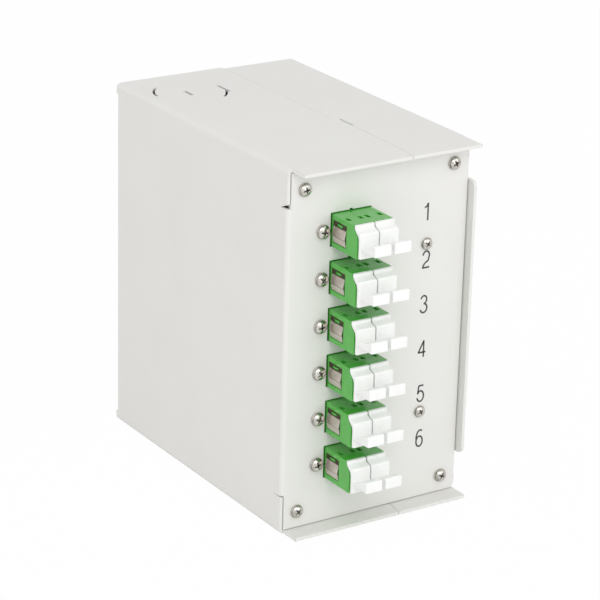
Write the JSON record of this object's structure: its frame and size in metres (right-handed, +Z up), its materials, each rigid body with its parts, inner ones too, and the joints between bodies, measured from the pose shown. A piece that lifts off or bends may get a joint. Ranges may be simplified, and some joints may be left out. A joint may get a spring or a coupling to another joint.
{
  "type": "din rail fibre box",
  "caption": "Folded light grey steel fibre termination box with a row of green duplex adapters, white dust caps and a sprung rail clip on the back.",
  "frame": {"origin": "centre of the underside, midway between the panel's face and the back wall", "axes": "+Z up, +Y from the panel to the back, +X to the right seen from the front"},
  "size_m": [0.062, 0.1213, 0.109],
  "materials": {
    "powder_coat": "light grey powder coat",
    "green_plastic": "moulded satin",
    "cap_plastic": "milky satin",
    "ceramic": "polished zirconia",
    "spring_steel": "bright rolled",
    "screw_steel": "nickel plated",
    "zinc_steel": "zinc plated",
    "tray_plastic": "satin",
    "clear_plastic": "clear"
  },
  "bodies": {
    "box": {"adapter_1_clip": "spring_steel", "adapter_1_front": "green_plastic", "adapter_1_rear": "green_plastic", "adapter_1_sleeves": "ceramic", "adapter_2_clip": "spring_steel", "adapter_2_front": "green_plastic", "adapter_2_rear": "green_plastic", "adapter_2_sleeves": "ceramic", "adapter_3_clip": "spring_steel", "adapter_3_front": "green_plastic", "adapter_3_rear": "green_plastic", "adapter_3_sleeves": "ceramic", "adapter_4_clip": "spring_steel", "adapter_4_front": "green_plastic", "adapter_4_rear": "green_plastic", "adapter_4_sleeves": "ceramic", "adapter_5_clip": "spring_steel", "adapter_5_front": "green_plastic", "adapter_5_rear": "green_plastic", "adapter_5_sleeves": "ceramic", "adapter_6_clip": "spring_steel", "adapter_6_front": "green_plastic", "adapter_6_rear": "green_plastic", "adapter_6_sleeves": "ceramic", "adapter_nuts": "screw_steel", "adapter_screws": "screw_steel", "bracket_screws": "screw_steel", "corner_bracket_bottom_left": "powder_coat", "corner_bracket_bottom_right": "powder_coat", "corner_bracket_top_left": "powder_coat", "corner_bracket_top_right": "powder_coat", "corner_screws": "screw_steel", "din_bracket": "zinc_steel", "din_screws": "screw_steel", "din_spring": "zinc_steel", "housing": "powder_coat", "rear_screws": "screw_steel", "side_cover": "powder_coat", "splice_holder": "tray_plastic", "splice_tray": "tray_plastic", "tray_bracket": "zinc_steel", "tray_lid": "clear_plastic", "tray_screws": "screw_steel"},
    "cap_1_left": {"cap_1_left": "cap_plastic"},
    "cap_1_right": {"cap_1_right": "cap_plastic"},
    "cap_2_left": {"cap_2_left": "cap_plastic"},
    "cap_2_right": {"cap_2_right": "cap_plastic"},
    "cap_3_left": {"cap_3_left": "cap_plastic"},
    "cap_3_right": {"cap_3_right": "cap_plastic"},
    "cap_4_left": {"cap_4_left": "cap_plastic"},
    "cap_4_right": {"cap_4_right": "cap_plastic"},
    "cap_5_left": {"cap_5_left": "cap_plastic"},
    "cap_5_right": {"cap_5_right": "cap_plastic"},
    "cap_6_left": {"cap_6_left": "cap_plastic"},
    "cap_6_right": {"cap_6_right": "cap_plastic"},
    "din_latch": {"din_latch": "zinc_steel"}
  },
  "joints": [
    {"name": "cap_1_left_pull", "type": "slide", "parent": "box", "child": "cap_1_left", "axis": [0, -1, 0], "range_m": [0, 0.015]},
    {"name": "cap_1_right_pull", "type": "slide", "parent": "box", "child": "cap_1_right", "axis": [0, -1, 0], "range_m": [0, 0.015]},
    {"name": "cap_2_left_pull", "type": "slide", "parent": "box", "child": "cap_2_left", "axis": [0, -1, 0], "range_m": [0, 0.015]},
    {"name": "cap_2_right_pull", "type": "slide", "parent": "box", "child": "cap_2_right", "axis": [0, -1, 0], "range_m": [0, 0.015]},
    {"name": "cap_3_left_pull", "type": "slide", "parent": "box", "child": "cap_3_left", "axis": [0, -1, 0], "range_m": [0, 0.015]},
    {"name": "cap_3_right_pull", "type": "slide", "parent": "box", "child": "cap_3_right", "axis": [0, -1, 0], "range_m": [0, 0.015]},
    {"name": "cap_4_left_pull", "type": "slide", "parent": "box", "child": "cap_4_left", "axis": [0, -1, 0], "range_m": [0, 0.015]},
    {"name": "cap_4_right_pull", "type": "slide", "parent": "box", "child": "cap_4_right", "axis": [0, -1, 0], "range_m": [0, 0.015]},
    {"name": "cap_5_left_pull", "type": "slide", "parent": "box", "child": "cap_5_left", "axis": [0, -1, 0], "range_m": [0, 0.015]},
    {"name": "cap_5_right_pull", "type": "slide", "parent": "box", "child": "cap_5_right", "axis": [0, -1, 0], "range_m": [0, 0.015]},
    {"name": "cap_6_left_pull", "type": "slide", "parent": "box", "child": "cap_6_left", "axis": [0, -1, 0], "range_m": [0, 0.015]},
    {"name": "cap_6_right_pull", "type": "slide", "parent": "box", "child": "cap_6_right", "axis": [0, -1, 0], "range_m": [0, 0.015]},
    {"name": "din_latch_slide", "type": "slide", "parent": "box", "child": "din_latch", "axis": [0, 0, -1], "range_m": [0, 0.004], "stiffness_N_per_m": 1500, "springref_m": -0.002, "deforming": ["din_spring"]}
  ]
}
